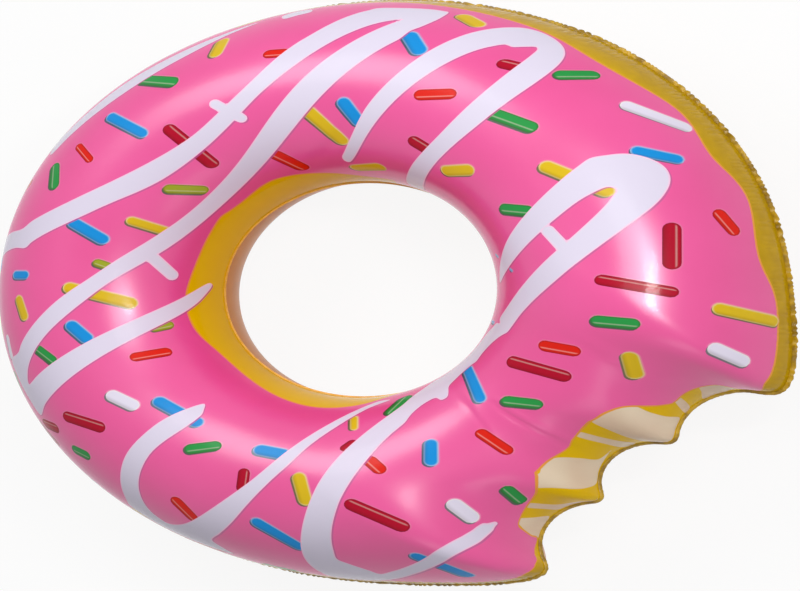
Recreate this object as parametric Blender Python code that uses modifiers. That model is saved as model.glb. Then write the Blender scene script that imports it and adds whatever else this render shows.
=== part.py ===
"""Inflatable ring float shaped as a ring doughnut with a bite taken out of its rim.

Two flat rings of PVC film are welded together along the hole and along the outline. Air swells
them into a tube, and a soft valve with a stopper is welded into the lower film.
All lengths are in metres, +Z is up, and the origin is under the middle of the hole, where the
float rests.
"""
import math

import bmesh
import bpy
from mathutils import Matrix, Vector

# Ring, measured over the swollen tube
RING_DIAMETER = 1.200
TUBE_WIDTH = 0.375
TUBE_HEIGHT = 0.390
FILM_THICKNESS = 0.0004
REST_BAND_WIDTH = 0.036

# Bite, cut by round teeth side by side along the rim, which springs outwards beside it
BITE_BEARING = math.radians(-40.8)
RIM_FLARE = 0.036
RIM_FLARE_START = math.radians(12)
RIM_FLARE_CREST = math.radians(25)
RIM_FLARE_FADE = math.radians(14)
RIM_FLARE_REACH = math.radians(80)
EDGE_ROUNDING = 0.020
FILM_ROUNDING = 0.25
FIRST_TOOTH_ALONG, FIRST_TOOTH_PAST_RIM, FIRST_TOOTH_RADIUS = 0.140, 0.031, 0.096
MIDDLE_TOOTH_ALONG, MIDDLE_TOOTH_PAST_RIM, MIDDLE_TOOTH_RADIUS = 0.0, -0.019, 0.081
LAST_TOOTH_ALONG, LAST_TOOTH_PAST_RIM, LAST_TOOTH_RADIUS = -0.141, 0.025, 0.089

# Welds, where both films are fused into one strip
OUTER_WELD_WIDTH = 0.006
INNER_WELD_WIDTH = 0.003
WELD_THICKNESS = 0.0008

# Valve, in the lower film behind the float, on its own axis
VALVE_BEARING = math.radians(197.5)
FILM_HOLE_RADIUS = 0.0125
FLANGE_RADIUS = 0.021
FLANGE_BORE_RADIUS = 0.0105
FLANGE_THICKNESS = 0.0012
STEM_RADIUS = 0.0065
STEM_BORE_RADIUS = 0.0047
STEM_PROUD = 0.005
STEM_FOOT_DEPTH = 0.009
STEM_FOOT_RADIUS = 0.0085
STEM_FOOT_THICKNESS = 0.0012
DISH_THICKNESS = 0.0009
PLUG_HEAD_RADIUS = 0.008
PLUG_HEAD_THICKNESS = 0.0022
PLUG_NOSE_LENGTH = 0.006
PLUG_NOSE_TIP_RADIUS = 0.0034
PLUG_TAB_REACH = 0.005
PLUG_TAB_WIDTH = 0.006
PLUG_TAB_THICKNESS = 0.0013
STRAP_WIDTH = 0.005
STRAP_THICKNESS = 0.0011
STRAP_REACH = 0.0045
FLAP_RADIUS = 0.0062
FLAP_THICKNESS = 0.0006

# Clearance between pieces that touch
TOUCH_GAP = 0.0003
PLUG_CLEARANCE = 0.0003
PUNCH_DEPTH = 0.006

# Fineness of the mesh and of its shading
HALVING_STEPS = 40
SMOOTH_ANGLE = math.radians(50)
RING_STEP = math.radians(5)
BITE_RIBS = 38
BITE_TRACE_STEPS = 600
SECTION_STEPS = 10
RIB_TRACE_STEPS = 24
RIB_BEND = 0.05
TURN_STEPS = 24
STRAP_BEND_STEPS = 6

rim_radius = RING_DIAMETER / 2
hole_radius = rim_radius - TUBE_WIDTH
swell = TUBE_HEIGHT / TUBE_WIDTH
rest_sag = TUBE_HEIGHT / 2 * (1 - math.sqrt(1 - (REST_BAND_WIDTH / TUBE_WIDTH) ** 2))
seam_height = TUBE_HEIGHT / 2 - rest_sag
teeth = (
    (FIRST_TOOTH_ALONG, FIRST_TOOTH_PAST_RIM, FIRST_TOOTH_RADIUS),
    (MIDDLE_TOOTH_ALONG, MIDDLE_TOOTH_PAST_RIM, MIDDLE_TOOTH_RADIUS),
    (LAST_TOOTH_ALONG, LAST_TOOTH_PAST_RIM, LAST_TOOTH_RADIUS),
)

for old in list(bpy.data.objects):
    bpy.data.objects.remove(old, do_unlink=True)

float_parts = bpy.data.collections.new("donut_pool_float")
cutters = bpy.data.collections.new("cutters")
for collection in (float_parts, cutters):
    bpy.context.scene.collection.children.link(collection)


def plastic(name, colour, roughness):
    """Soft PVC: a glossy, non-metallic surface of one colour."""
    material = bpy.data.materials.new(name)
    material.use_nodes = True
    shader = material.node_tree.nodes["Principled BSDF"]
    shader.inputs["Base Color"].default_value = (*colour, 1)
    shader.inputs["Roughness"].default_value = roughness
    shader.inputs["Metallic"].default_value = 0
    material.diffuse_color = (*colour, 1)
    return material


def add_part(name, mesh, material):
    """Put a mesh into the scene as one named piece, shaded smooth up to sharp edges."""
    piece = bpy.data.objects.new(name, mesh)
    float_parts.objects.link(piece)
    mesh.materials.append(material)
    mesh.shade_smooth()
    mesh.set_sharp_from_angle(angle=SMOOTH_ANGLE)
    return piece


# Outline of the float and the height of the air-filled film above the seam

def tooth_centre(along, past_rim):
    """Centre of one tooth mark, placed along and past the rim from the middle of the bite."""
    bearing = BITE_BEARING + along / rim_radius
    reach = rim_radius + past_rim
    return reach * math.cos(bearing), reach * math.sin(bearing)


def rim_flare(x, y):
    """How far the outline stands out past the round rim, in the direction of a point."""
    turned = abs(math.remainder(math.atan2(y, x) - BITE_BEARING, 2 * math.pi))
    rise = (turned - RIM_FLARE_START) / (RIM_FLARE_CREST - RIM_FLARE_START)
    rise = min(max(rise, 0), 1)
    past_crest = max(turned - RIM_FLARE_CREST, 0)
    fall = max(1 - past_crest / RIM_FLARE_REACH, 0) ** 2
    fall /= 1 + (past_crest / RIM_FLARE_FADE) ** 2
    return RIM_FLARE * rise ** 2 * (3 - 2 * rise) * fall


def edge_distance(x, y):
    """Distance from the outer weld, rounded at the corners of the bite, more so further in."""
    gaps = [rim_radius + rim_flare(x, y) - math.hypot(x, y)]
    for along, past_rim, radius in teeth:
        centre_x, centre_y = tooth_centre(along, past_rim)
        gaps.append(math.hypot(x - centre_x, y - centre_y) - radius)
    rounding = EDGE_ROUNDING + FILM_ROUNDING * max(min(gaps), 0)
    distance = gaps[0]
    for gap in gaps[1:]:
        overlap = max(rounding - abs(distance - gap), 0)
        distance = min(distance, gap) - overlap ** 2 / (4 * rounding)
    return distance


def edge_inward(x, y):
    """Unit direction in which the distance from the outer weld grows."""
    probe = 0.0005
    slope = Vector((edge_distance(x + probe, y) - edge_distance(x - probe, y),
                    edge_distance(x, y + probe) - edge_distance(x, y - probe)))
    return slope.normalized()


def film_height(x, y):
    """Height of the swollen film above the seam: a round section from weld to weld."""
    from_hole = max(math.hypot(x, y) - hole_radius, 0)
    from_edge = max(edge_distance(x, y), 0)
    return swell * math.sqrt(from_hole * from_edge)


def rim_point(bearing):
    """Point of the outline in one direction from the middle, found by halving."""
    near, far = hole_radius, rim_radius + RIM_FLARE
    for _ in range(HALVING_STEPS):
        middle = (near + far) / 2
        if edge_distance(middle * math.cos(bearing), middle * math.sin(bearing)) > 0:
            near = middle
        else:
            far = middle
    return Vector((near * math.cos(bearing), near * math.sin(bearing)))


def whole_steps(angle, rounding):
    return rounding(angle / RING_STEP) * RING_STEP


def rib_ends():
    """Bearing at the hole and point on the outline for each rib, once round the float."""
    widest = max(abs(along) / rim_radius + math.asin(radius / (rim_radius + past_rim))
                 for along, past_rim, radius in teeth)
    first = whole_steps(BITE_BEARING + widest, math.ceil)
    last = whole_steps(BITE_BEARING - widest, math.floor)
    trace = []
    for step in range(BITE_TRACE_STEPS + 1):
        trace.append(rim_point(last + (first - last) * step / BITE_TRACE_STEPS))
    lengths = [0]
    for before, after in zip(trace, trace[1:]):
        lengths.append(lengths[-1] + (after - before).length)
    ends = []
    at = 0
    for rib in range(BITE_RIBS):
        share = rib / BITE_RIBS
        while lengths[at + 1] < share * lengths[-1]:
            at += 1
        part = (share * lengths[-1] - lengths[at]) / (lengths[at + 1] - lengths[at])
        ends.append((last + (first - last) * share, trace[at].lerp(trace[at + 1], part)))
    for step in range(round((last + 2 * math.pi - first) / RING_STEP)):
        bearing = first + step * RING_STEP
        ends.append((bearing, rim_point(bearing)))
    return ends


def rib_line(bearing, rim):
    """Plan of one rib: from the hole, bending to meet the outline squarely."""
    start = Vector((hole_radius * math.cos(bearing), hole_radius * math.sin(bearing)))
    turn = rim + edge_inward(*rim) * RIB_BEND
    line = []
    for step in range(RIB_TRACE_STEPS + 1):
        share = step / RIB_TRACE_STEPS
        line.append(start.lerp(turn, share).lerp(turn.lerp(rim, share), share))
    return line


def point_along(line, share):
    """Point at a share of a line's length."""
    lengths = [0]
    for before, after in zip(line, line[1:]):
        lengths.append(lengths[-1] + (after - before).length)
    wanted = share * lengths[-1]
    for index, (before, after) in enumerate(zip(lengths, lengths[1:])):
        if wanted <= after:
            part = (wanted - before) / (after - before)
            return line[index].lerp(line[index + 1], part)
    return line[-1].copy()


ribs = rib_ends()
rib_lines = [rib_line(bearing, rim) for bearing, rim in ribs]
film_edge_lift = WELD_THICKNESS / 2 + TOUCH_GAP


def film_rows(levels, side):
    """Points of one film, rib by rib; side is 1 for the upper film and -1 for the lower."""
    rows = []
    for line in rib_lines:
        row = []
        for angle in levels:
            place = point_along(line, (1 - math.cos(angle)) / 2)
            height = max(film_height(*place), film_edge_lift)
            height = height if side > 0 else min(height, seam_height)
            row.append(Vector((*place, seam_height + side * height)))
        rows.append(row)
    return rows


def sheet_from_rows(name, rows, material, thickness, closed=True, upward=True):
    """Loft rows of points into an open sheet and thicken it away from the side it shows."""
    model = bmesh.new()
    grid = [[model.verts.new(point) for point in row] for row in rows]
    pairs = list(zip(grid, grid[1:] + grid[:1])) if closed else list(zip(grid, grid[1:]))
    for row, following in pairs:
        for level in range(len(row) - 1):
            corners = [row[level], row[level + 1], following[level + 1], following[level]]
            model.faces.new(corners if upward else corners[::-1])
    mesh = bpy.data.meshes.new(name)
    model.to_mesh(mesh)
    model.free()
    piece = add_part(name, mesh, material)
    wall = piece.modifiers.new("thickness", "SOLIDIFY")
    wall.thickness = thickness
    wall.offset = -1
    return piece


# Films

def section_levels(step_angles):
    return [math.radians(angle) for angle in step_angles]


section_step = 180 / SECTION_STEPS
upper_levels = section_levels([step * section_step for step in range(SECTION_STEPS + 1)])
band_angle = math.degrees(math.asin(REST_BAND_WIDTH / TUBE_WIDTH))
lower_angles = [step * section_step for step in range(SECTION_STEPS + 1)]
lower_angles = [angle for angle in lower_angles if abs(angle - 90) > band_angle]
lower_levels = section_levels(sorted(lower_angles + [90 - band_angle, 90 + band_angle]))

frosting = plastic("frosting_print", (0.85, 0.13, 0.36), 0.22)
dough = plastic("dough_print", (0.78, 0.50, 0.06), 0.25)
clear_yellow = plastic("welded_edge", (0.62, 0.46, 0.05), 0.3)
milky = plastic("milky_pvc", (0.80, 0.80, 0.78), 0.3)

sheet_from_rows("top_film", film_rows(upper_levels, 1), frosting, FILM_THICKNESS, upward=True)
bottom_rows = film_rows(lower_levels, -1)
bottom_film = sheet_from_rows("bottom_film", bottom_rows, dough, FILM_THICKNESS, upward=False)


# Welded strips along the outline and along the hole

def strip(name, inner_line, outer_line):
    """A flat strip between two closed lines at the height of the seam."""
    top = seam_height + WELD_THICKNESS / 2
    rows = [(Vector((*near, top)), Vector((*far, top))) for near, far in
            zip(inner_line, outer_line)]
    return sheet_from_rows(name, rows, clear_yellow, WELD_THICKNESS)


rims = [rim for _, rim in ribs]
strip("outer_weld", rims, [rim - edge_inward(*rim) * OUTER_WELD_WIDTH for rim in rims])
hole_line = [Vector((math.cos(bearing), math.sin(bearing))) for bearing, _ in ribs]
strip("inner_weld", [way * (hole_radius - INNER_WELD_WIDTH) for way in hole_line],
      [way * hole_radius for way in hole_line])


# Valve frame: on the flat facet of the lower film that lies nearest to its bearing, two
# facets below the outer weld. X points down the film, Z points out of it.

def valve_frame():
    rib = min(range(len(ribs)), key=lambda index: abs(
        math.remainder(ribs[index][0] + RING_STEP / 2 - VALVE_BEARING, 2 * math.pi)))
    row, following = bottom_rows[rib], bottom_rows[(rib + 1) % len(ribs)]
    low, high = row[-3], row[-2]
    next_low, next_high = following[-3], following[-2]
    centre = (low + high + next_low + next_high) / 4
    outward = (next_low - high).cross(low - next_high).normalized()
    if outward.dot(centre - Vector((0, 0, seam_height))) < 0:
        outward = -outward
    down = (low + next_low) / 2 - (high + next_high) / 2
    down = (down - outward * down.dot(outward)).normalized()
    across = outward.cross(down)
    frame = Matrix((down, across, outward)).transposed().to_4x4()
    frame.translation = centre
    return frame


valve_place = valve_frame()
valve_base = bpy.data.objects.new("valve_base", None)
float_parts.objects.link(valve_base)
valve_base.matrix_world = valve_place


def put_on_valve(piece, pivot=Vector((0, 0, 0))):
    """Carry a piece on the valve's frame, with its own origin on its joint."""
    piece.data.transform(Matrix.Translation(-pivot))
    piece.parent = valve_base
    piece.location = pivot


def turned(name, outline, material):
    """Turn an outline of (radius, height) points round the valve's axis, outer side downwards.

    An edge that lies on the axis is left out, because it would sweep no face.
    """
    model = bmesh.new()
    corners = [model.verts.new((radius, 0, height)) for radius, height in outline]
    for before, after in zip(corners, corners[1:] + corners[:1]):
        if before.co.x or after.co.x:
            model.edges.new((before, after))
    mesh = bpy.data.meshes.new(name)
    model.to_mesh(mesh)
    model.free()
    piece = add_part(name, mesh, material)
    screw = piece.modifiers.new("turn", "SCREW")
    screw.steps = screw.render_steps = TURN_STEPS
    screw.use_merge_vertices = True
    screw.merge_threshold = 0.00001
    screw.use_smooth_shade = True
    return piece


def hide_cutter(tool):
    """Keep a shape that only cuts or joins others out of the float."""
    tool.hide_render = True
    tool.display_type = "WIRE"
    for home in list(tool.users_collection):
        home.objects.unlink(tool)
    cutters.objects.link(tool)


def fix_mesh(piece):
    """Replace a piece's modifiers by the mesh that they make."""
    graph = bpy.context.evaluated_depsgraph_get()
    mesh = bpy.data.meshes.new_from_object(piece.evaluated_get(graph))
    piece.modifiers.clear()
    piece.data = mesh


# Hole through the lower film, under the flange

bpy.ops.mesh.primitive_cylinder_add(vertices=TURN_STEPS, radius=FILM_HOLE_RADIUS,
                                    depth=PUNCH_DEPTH)
film_punch = bpy.context.active_object
film_punch.name = "film_punch"
film_punch.matrix_world = valve_place
hide_cutter(film_punch)
valve_hole = bottom_film.modifiers.new("valve_hole", "BOOLEAN")
valve_hole.object = film_punch
valve_hole.operation = "DIFFERENCE"
valve_hole.solver = "EXACT"

# Flange, welded flat on the film

flange_bottom = TOUCH_GAP
flange_top = flange_bottom + FLANGE_THICKNESS
flange_edge = FLANGE_THICKNESS / 3
put_on_valve(turned("valve_flange", [
    (FLANGE_BORE_RADIUS, flange_top),
    (FLANGE_RADIUS - flange_edge, flange_top),
    (FLANGE_RADIUS, flange_top - flange_edge),
    (FLANGE_RADIUS, flange_bottom),
    (FLANGE_BORE_RADIUS, flange_bottom),
], milky))

# Stem, pushed in as it is in use, with a foot inside the float

stem_foot_top = -STEM_FOOT_DEPTH
stem_foot_bottom = stem_foot_top - STEM_FOOT_THICKNESS
put_on_valve(turned("valve_stem", [
    (STEM_BORE_RADIUS, STEM_PROUD),
    (STEM_RADIUS, STEM_PROUD),
    (STEM_RADIUS, stem_foot_top),
    (STEM_FOOT_RADIUS, stem_foot_top),
    (STEM_FOOT_RADIUS, stem_foot_bottom),
    (STEM_BORE_RADIUS, stem_foot_bottom),
], milky))

# Dish, the thin skirt between flange and stem that rolls through when the stem is pulled

dish_rim = FLANGE_BORE_RADIUS - TOUCH_GAP
dish_neck = STEM_RADIUS + TOUCH_GAP
dish_foot = stem_foot_top + TOUCH_GAP
put_on_valve(turned("valve_dish", [
    (dish_rim - DISH_THICKNESS, flange_top),
    (dish_rim, flange_top),
    (dish_rim, 0),
    (dish_neck + DISH_THICKNESS, dish_foot),
    (dish_neck, dish_foot),
    (dish_rim - DISH_THICKNESS, 0),
], milky))

# Plug, a tapered stopper with a head and a finger tab

plug_seat = STEM_PROUD + TOUCH_GAP
plug_top = plug_seat + PLUG_HEAD_THICKNESS
plug_chamfer = PLUG_HEAD_THICKNESS / 4
valve_plug = turned("valve_plug", [
    (0, plug_top),
    (PLUG_HEAD_RADIUS - plug_chamfer, plug_top),
    (PLUG_HEAD_RADIUS, plug_top - plug_chamfer),
    (PLUG_HEAD_RADIUS, plug_seat),
    (STEM_BORE_RADIUS - PLUG_CLEARANCE, plug_seat),
    (PLUG_NOSE_TIP_RADIUS, plug_seat - PLUG_NOSE_LENGTH),
    (0, plug_seat - PLUG_NOSE_LENGTH),
], milky)
bpy.ops.mesh.primitive_cube_add(size=1)
plug_tab = bpy.context.active_object
plug_tab.name = "plug_tab"
tab_root = PLUG_HEAD_RADIUS / 2
tab_size = (PLUG_HEAD_RADIUS + PLUG_TAB_REACH - tab_root, PLUG_TAB_WIDTH, PLUG_TAB_THICKNESS)
plug_tab.data.transform(Matrix.Diagonal((*tab_size, 1)))
plug_tab.data.transform(Matrix.Translation((
    tab_root + tab_size[0] / 2, 0, (plug_seat + plug_top) / 2)))
tab_corners = plug_tab.modifiers.new("round_corners", "BEVEL")
tab_corners.width = PLUG_TAB_THICKNESS / 3
tab_corners.segments = 1
hide_cutter(plug_tab)
with_tab = valve_plug.modifiers.new("tab", "BOOLEAN")
with_tab.object = plug_tab
with_tab.operation = "UNION"
with_tab.solver = "EXACT"
fix_mesh(valve_plug)

# Strap, a soft band that arches from the side of the stem to the edge of the plug's head

strap_low = STEM_PROUD - 2 * STRAP_THICKNESS
strap_high = (plug_seat + plug_top) / 2
strap_bend = (strap_high - strap_low) / 2
strap_turn_x = -(PLUG_HEAD_RADIUS + STRAP_REACH - strap_bend)
strap_turn_z = (strap_high + strap_low) / 2
strap_line = [Vector((-(STEM_RADIUS + TOUCH_GAP), strap_low))]
for turn in range(STRAP_BEND_STEPS + 1):
    angle = math.pi * turn / STRAP_BEND_STEPS
    strap_line.append(Vector((strap_turn_x - strap_bend * math.sin(angle),
                              strap_turn_z - strap_bend * math.cos(angle))))
strap_line.append(Vector((-(PLUG_HEAD_RADIUS + TOUCH_GAP), strap_high)))
strap_rows = [(Vector((x, -STRAP_WIDTH / 2, z)), Vector((x, STRAP_WIDTH / 2, z)))
              for x, z in strap_line]
plug_strap = sheet_from_rows("plug_strap", strap_rows, milky, STRAP_THICKNESS, closed=False)
plug_strap.modifiers["thickness"].offset = 0
put_on_valve(plug_strap)

# The plug swings on the middle of the strap's bend
put_on_valve(valve_plug, Vector((strap_turn_x, 0, strap_turn_z)))

# Check flap, a thin disc hung inside the float on one edge of the stem's foot

flap_top = stem_foot_bottom - TOUCH_GAP
bpy.ops.mesh.primitive_cylinder_add(vertices=TURN_STEPS, radius=FLAP_RADIUS,
                                    depth=FLAP_THICKNESS)
flap_disc = bpy.context.active_object
flap_mesh = flap_disc.data
bpy.data.objects.remove(flap_disc, do_unlink=True)
flap_mesh.transform(Matrix.Translation((0, 0, flap_top - FLAP_THICKNESS / 2)))
put_on_valve(add_part("check_flap", flap_mesh, milky), Vector((FLAP_RADIUS, 0, flap_top)))
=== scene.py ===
import math

import bpy
import numpy as np
from mathutils import Matrix, Vector
from mathutils.bvhtree import BVHTree
from mathutils.geometry import barycentric_transform


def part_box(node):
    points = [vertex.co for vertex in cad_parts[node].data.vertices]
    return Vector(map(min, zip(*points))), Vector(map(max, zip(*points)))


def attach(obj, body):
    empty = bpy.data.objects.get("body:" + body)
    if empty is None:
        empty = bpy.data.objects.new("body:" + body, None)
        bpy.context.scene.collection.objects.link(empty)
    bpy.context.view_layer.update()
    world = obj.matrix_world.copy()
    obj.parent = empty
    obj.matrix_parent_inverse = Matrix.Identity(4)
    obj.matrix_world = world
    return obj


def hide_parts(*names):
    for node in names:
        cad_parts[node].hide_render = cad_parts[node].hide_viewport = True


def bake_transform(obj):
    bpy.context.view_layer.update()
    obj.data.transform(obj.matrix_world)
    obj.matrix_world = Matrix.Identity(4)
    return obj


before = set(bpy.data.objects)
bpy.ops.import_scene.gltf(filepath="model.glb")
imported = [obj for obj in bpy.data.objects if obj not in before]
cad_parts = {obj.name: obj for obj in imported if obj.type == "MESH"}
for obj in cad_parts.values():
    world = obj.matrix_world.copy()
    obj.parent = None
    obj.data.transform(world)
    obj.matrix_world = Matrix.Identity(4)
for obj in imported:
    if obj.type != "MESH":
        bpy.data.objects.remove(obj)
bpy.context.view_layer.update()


# Camera
# The photograph is drawn out sideways, so the camera stands on a leaning axis: the float itself
# stays round. It looks down on the face, from a little towards the side with the bite.
photo_width, photo_height = 800, 591
seam_height = (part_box("outer_weld")[0].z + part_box("outer_weld")[1].z) / 2
rim_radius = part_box("top_film")[1].y
hole_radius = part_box("inner_weld")[1].x
tube_width = rim_radius - hole_radius
ring_middle = Vector((0, 0, seam_height))
camera_tilt = 0.4466
camera_swing = -0.1029
camera_roll = 0.0159
camera_distance = 8.856
camera_aside = 0.0545
camera_above = -0.0113
camera_lean = -0.8241
focal_pixels = 4278.9
sensor_width = 36
sight_reach = 100

sight = Vector((math.sin(camera_tilt) * math.cos(camera_swing),
                math.sin(camera_tilt) * math.sin(camera_swing), math.cos(camera_tilt)))
level_axis = Vector((0, 1, 0)).cross(sight).normalized()
upright_axis = sight.cross(level_axis)
camera_place = (ring_middle + sight * camera_distance + level_axis * camera_aside
                + upright_axis * camera_above)
right_axis = level_axis * math.cos(camera_roll) + upright_axis * math.sin(camera_roll)
top_axis = upright_axis * math.cos(camera_roll) - level_axis * math.sin(camera_roll)
upright = Matrix((right_axis, top_axis, sight)).transposed()
lean = Matrix(((math.cos(camera_lean), 0, 0), (0, 1, 0), (math.sin(camera_lean), 0, 1)))
camera_axes = upright @ lean

camera = bpy.data.objects.new("camera", bpy.data.cameras.new("camera"))
bpy.context.scene.collection.objects.link(camera)
bpy.context.scene.camera = camera
camera_stand = bpy.data.objects.new("camera_stand", None)
bpy.context.scene.collection.objects.link(camera_stand)
camera.data.sensor_width = sensor_width
camera.data.lens = focal_pixels * sensor_width / photo_width
camera.data.clip_end = sight_reach
camera.parent = camera_stand
camera.matrix_parent_inverse = Matrix.Translation(camera_place) @ camera_axes.to_4x4()
bpy.context.scene.view_settings.view_transform = "Standard"


def sight_line(across, down):
    """Direction from the camera through one point of the photograph."""
    return camera_axes @ Vector(((across - photo_width / 2) / focal_pixels,
                                 (photo_height / 2 - down) / focal_pixels, -1))


# Floor and light
# A plain pale studio floor that takes the float's shadow, with large soft lamps overhead.
class Wire:
    """One shader socket. Arithmetic on it adds Math nodes to its material."""

    def __init__(self, tree, socket):
        self.tree, self.socket = tree, socket

    def sum_node(self, operation, *values):
        node = self.tree.nodes.new("ShaderNodeMath")
        node.operation = operation
        for slot, value in zip(node.inputs, values):
            plug_in(self.tree, slot, value)
        return Wire(self.tree, node.outputs[0])

    def __add__(self, other):
        return self.sum_node("ADD", self, other)

    def __sub__(self, other):
        return self.sum_node("SUBTRACT", self, other)

    def __rsub__(self, other):
        return self.sum_node("SUBTRACT", other, self)

    def __mul__(self, other):
        return self.sum_node("MULTIPLY", self, other)

    def either(self, other):
        return self.sum_node("MAXIMUM", self, other)

    def size(self):
        return self.sum_node("ABSOLUTE", self)

    __radd__ = __add__
    __rmul__ = __mul__


def plug_in(tree, slot, value):
    """Give a node's socket a plain value, or link another socket to it."""
    if isinstance(value, Wire):
        tree.links.new(value.socket, slot)
    else:
        slot.default_value = value


class Finish:
    """The nodes of one material or of the world."""

    def __init__(self, owner):
        owner.use_nodes = True
        self.owner, self.tree = owner, owner.node_tree
        self.tree.nodes.clear()

    def node(self, kind, settings=None, inputs=None, output=0):
        """Add a node: its settings first, then the values or links of its sockets."""
        node = self.tree.nodes.new(kind)
        for name, value in (settings or {}).items():
            setattr(node, name, value)
        for name, value in (inputs or {}).items():
            plug_in(self.tree, node.inputs[name], value)
        return Wire(self.tree, node.outputs[output]) if node.outputs else None

    def mix(self, share, under, over):
        """Lay one colour over another."""
        return self.node("ShaderNodeMix", {"data_type": "RGBA"}, {0: share, 6: under, 7: over}, 2)

    def step(self, value, low, high):
        """From 0 at the low value to 1 at the high one, eased at both ends."""
        return self.node("ShaderNodeMapRange", {"interpolation_type": "SMOOTHSTEP"},
                         {"Value": value, "From Min": low, "From Max": high})

    def ink_edge(self, depth, ease=0.0006):
        """From 0 outside a printed patch to 1 inside it."""
        return self.step(depth, -ease, ease)

    def noise(self, scale, detail=2, roughness=0.5):
        """Soft random variation, in cycles per metre."""
        return self.node("ShaderNodeTexNoise", None, {
            "Vector": self.node("ShaderNodeNewGeometry"), "Scale": scale, "Detail": detail,
            "Roughness": roughness})

    def from_mesh(self, name, output=2):
        """A value stored on the mesh: output 2 is a number and 0 a colour."""
        return self.node("ShaderNodeAttribute", {"attribute_name": name}, None, output)

    def bump(self, height, distance, strength):
        """A normal that follows heights of up to this distance."""
        return self.node("ShaderNodeBump", None, {
            "Height": height, "Distance": distance, "Strength": strength})

    def seen_plainly(self):
        """1 for the rays that show the studio as white, and 0 for those that light the float."""
        rays = [self.node("ShaderNodeLightPath", None, None, name)
                for name in ("Is Camera Ray", "Is Glossy Ray", "Is Transmission Ray")]
        return rays[0].either(rays[1]).either(rays[2])

    def surface(self, **sockets):
        """End in a Principled shader; a socket's name is written with underscores."""
        named = {name.replace("_", " "): value for name, value in sockets.items()}
        skin = self.node("ShaderNodeBsdfPrincipled", None, named)
        self.node("ShaderNodeOutputMaterial", None, {"Surface": skin})
        return self.owner


def ink(red, green, blue):
    """A colour as it is seen on screen, from 0 to 255, made linear for the shader."""
    linear = []
    for part in (red / 255, green / 255, blue / 255):
        linear.append(part / 12.92 if part <= 0.04045 else ((part + 0.055) / 1.055) ** 2.4)
    return (*linear, 1)


floor_height = -0.0003
floor_reach, floor_cells = 8, 16
floor_glow_share = 0.9
room_strength = 0.26
plain_white = ink(255, 255, 255)
bpy.ops.mesh.primitive_grid_add(x_subdivisions=floor_cells, y_subdivisions=floor_cells,
                                size=2 * floor_reach, location=(0, 0, floor_height))
studio_floor = bpy.context.active_object
studio_floor.name = "studio_floor"
pale_floor = Finish(bpy.data.materials.new("pale_floor"))
floor_skin = pale_floor.node("ShaderNodeBsdfPrincipled", None, {
    "Base Color": ink(246, 246, 246), "Roughness": 0.9, "Specular IOR Level": 0.0})
floor_glow = pale_floor.node("ShaderNodeEmission", None, {"Color": plain_white, "Strength": 1})
floor_mix = pale_floor.node("ShaderNodeMixShader", None, {
    0: pale_floor.seen_plainly() * floor_glow_share, 1: floor_skin, 2: floor_glow})
pale_floor.node("ShaderNodeOutputMaterial", None, {"Surface": floor_mix})
studio_floor.data.materials.append(pale_floor.owner)

studio_world = bpy.data.worlds.new("studio_world")
bpy.context.scene.world = studio_world
room = Finish(studio_world)
room_light, room_white = [
    room.node("ShaderNodeBackground", None, {"Color": plain_white, "Strength": strength})
    for strength in (room_strength, 1)]
room_mix = room.node("ShaderNodeMixShader", None, {
    0: room.seen_plainly(), 1: room_light, 2: room_white})
room.node("ShaderNodeOutputWorld", None, {"Surface": room_mix})


def soft_lamp(name, place, width, height, power):
    """A rectangular lamp that faces the float."""
    light = bpy.data.lights.new(name, "AREA")
    light.shape = "RECTANGLE"
    light.size, light.size_y, light.energy = width, height, power
    lamp = bpy.data.objects.new(name, light)
    lamp.location = place
    lamp.rotation_euler = (ring_middle - lamp.location).to_track_quat("-Z", "Y").to_euler()
    bpy.context.scene.collection.objects.link(lamp)


soft_lamp("key_lamp", Vector((-1.3, 2.1, 3.2)), 2.6, 1.7, 62)
soft_lamp("side_lamp", Vector((2.42, 0.78, 3.2)), 0.07, 0.65, 27)
soft_lamp("fill_lamp", Vector((1.7, 0.7, 3.2)), 1.7, 1.3, 36)
soft_lamp("low_lamp", Vector((1.2, -2.6, 2.4)), 1.8, 0.8, 5)


# Lower film
# A flat ring of golden printed PVC film, blown out to the underside of the tube. It is fused to
# the upper film along both seams, and carries the valve, welded flat on its outer side.
bite_bearing = math.radians(-40.8)
rim_flare = 0.036
flare_start, flare_crest, flare_reach = math.radians(12), math.radians(25), math.radians(80)
flare_fade = math.radians(14)
edge_rounding, film_rounding = 0.020, 0.25
teeth = ((0.140, 0.031, 0.096), (0.0, -0.019, 0.081), (-0.141, 0.025, 0.089))
film_swell = (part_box("top_film")[1].z - seam_height) / (tube_width / 2)
seam_probe = 0.0005
rounding_passes = 3
halvings = 40
trace_steps = 2001
shallow = 0.02


def even_turns(count):
    """Angles that share out a full turn."""
    return np.arange(count) * 2 * math.pi / count


def eased_step(share):
    share = np.clip(share, 0, 1)
    return share ** 2 * (3 - 2 * share)


def turned_from(bearings, middle):
    """Angle on either side of a bearing, from 0 to half a turn."""
    return np.abs((bearings - middle + math.pi) % (2 * math.pi) - math.pi)


def flared_rim(x, y):
    """Radius of the outline without its bite: it springs outwards beside the bite."""
    turned = turned_from(np.arctan2(y, x), bite_bearing)
    past_crest = np.maximum(turned - flare_crest, 0)
    fall = np.maximum(1 - past_crest / flare_reach, 0) ** 2 / (1 + (past_crest / flare_fade) ** 2)
    rise = eased_step((turned - flare_start) / (flare_crest - flare_start))
    return rim_radius + rim_flare * rise * fall


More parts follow.
